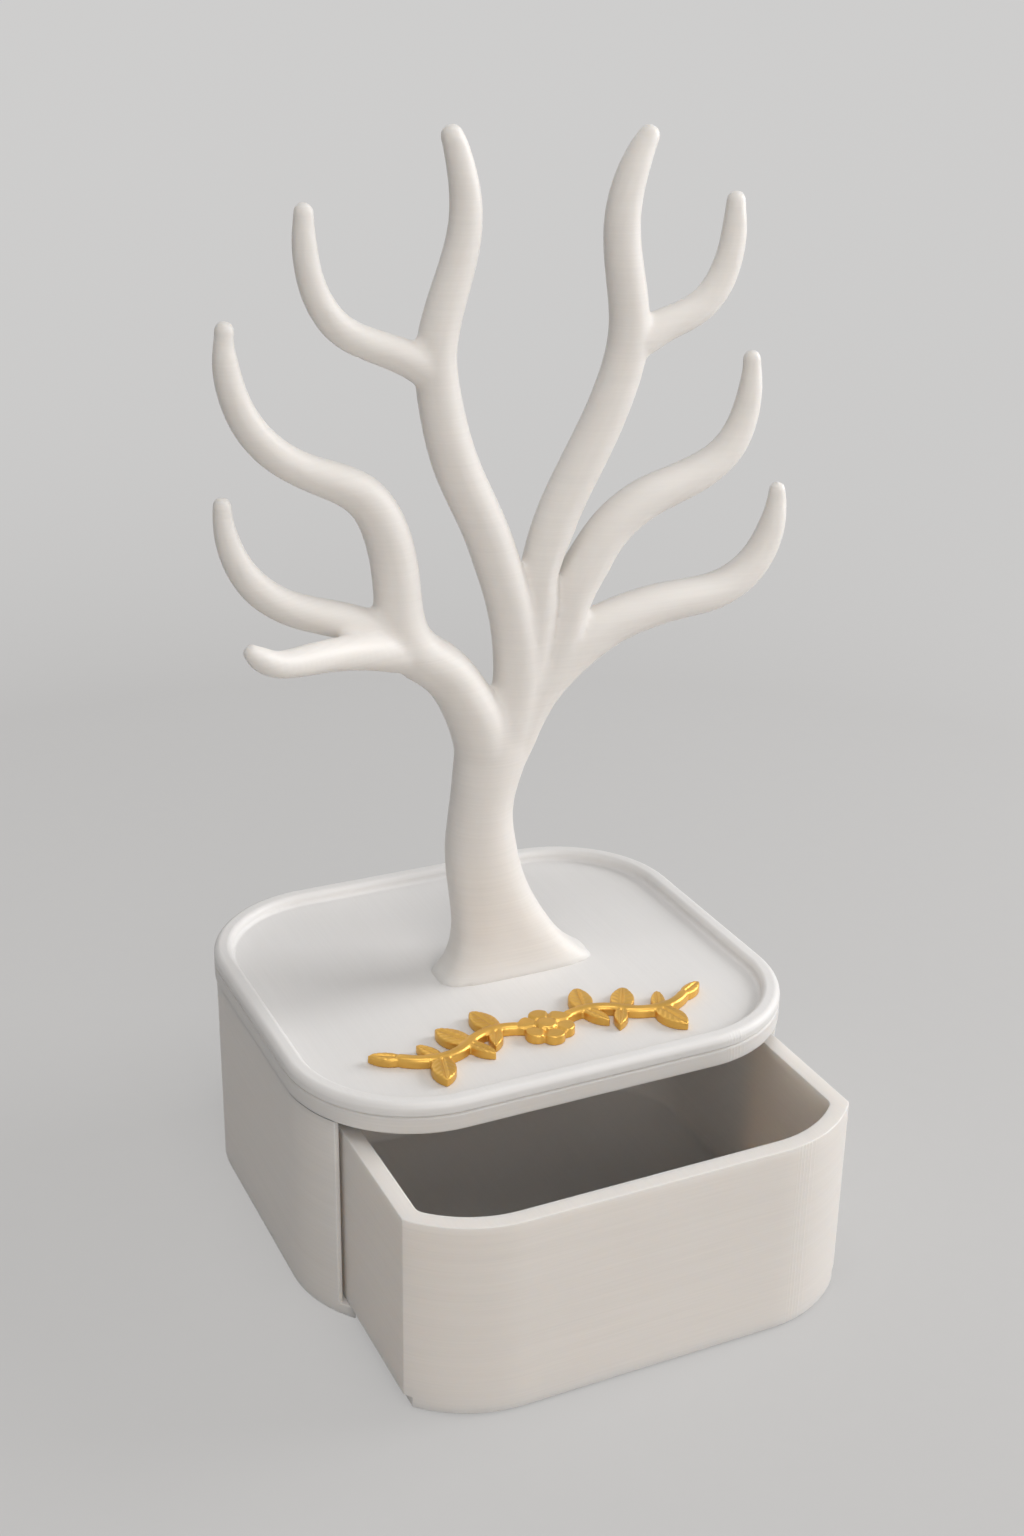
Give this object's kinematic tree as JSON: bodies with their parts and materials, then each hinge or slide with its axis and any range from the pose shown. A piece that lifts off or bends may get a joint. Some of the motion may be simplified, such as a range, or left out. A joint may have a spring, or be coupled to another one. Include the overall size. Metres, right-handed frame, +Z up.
{
  "type": "jewelry stand with drawer",
  "caption": "Rounded-square jewellery box with a pull-out drawer, a rimmed tray on top and a branching tree for hanging rings and necklaces.",
  "frame": {"origin": "on the underside of the box, under the middle of the box body, which is what stands on the table; the open drawer and the tree reach past the body and don't move the origin", "axes": "+X to the right when facing the drawer, +Y from the drawer front to the back, +Z up along the tree"},
  "size_m": [0.1373, 0.137, 0.2462],
  "materials": {
    "white_print": "satin, fine horizontal print layers",
    "tray_print": "satin, fine print layers",
    "drawer_print": "satin, fine horizontal print layers",
    "tree_print": "smooth satin",
    "gilt": "satin gold",
    "steel": "plain zinc"
  },
  "bodies": {
    "stand": {"box_housing": "white_print", "top_tray": "tray_print", "tree": "tree_print", "tree_screws": "steel", "vine_ornament": "gilt"},
    "drawer": {"drawer": "drawer_print"}
  },
  "joints": [
    {"name": "drawer_slide", "type": "slide", "parent": "stand", "child": "drawer", "axis": [0, -1, 0], "range_m": [-0.03, 0.05]}
  ]
}
